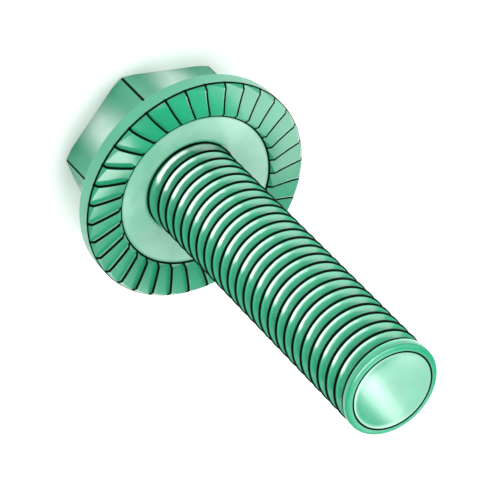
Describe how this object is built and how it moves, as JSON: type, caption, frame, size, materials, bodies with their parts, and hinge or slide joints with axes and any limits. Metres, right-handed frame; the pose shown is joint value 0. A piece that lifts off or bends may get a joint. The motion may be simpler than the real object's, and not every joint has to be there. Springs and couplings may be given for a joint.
{
  "type": "serrated flange bolt",
  "caption": "Hexagon-head flange bolt with a serrated bearing face, a dished underside and a fully threaded shank, for clamping sheet or brackets without a washer.",
  "frame": {"origin": "centre of the head's flat top, which the bolt stands on", "axes": "+Z along the shank from the head to the point; one pair of wrench flats faces +Y and -Y"},
  "size_m": [0.0196, 0.0196, 0.0377],
  "materials": {
    "green_plated_steel": "bright green film over plated steel, smooth and glossy"
  },
  "bodies": {
    "root": {"flange_bolt": "green_plated_steel"}
  },
  "joints": []
}
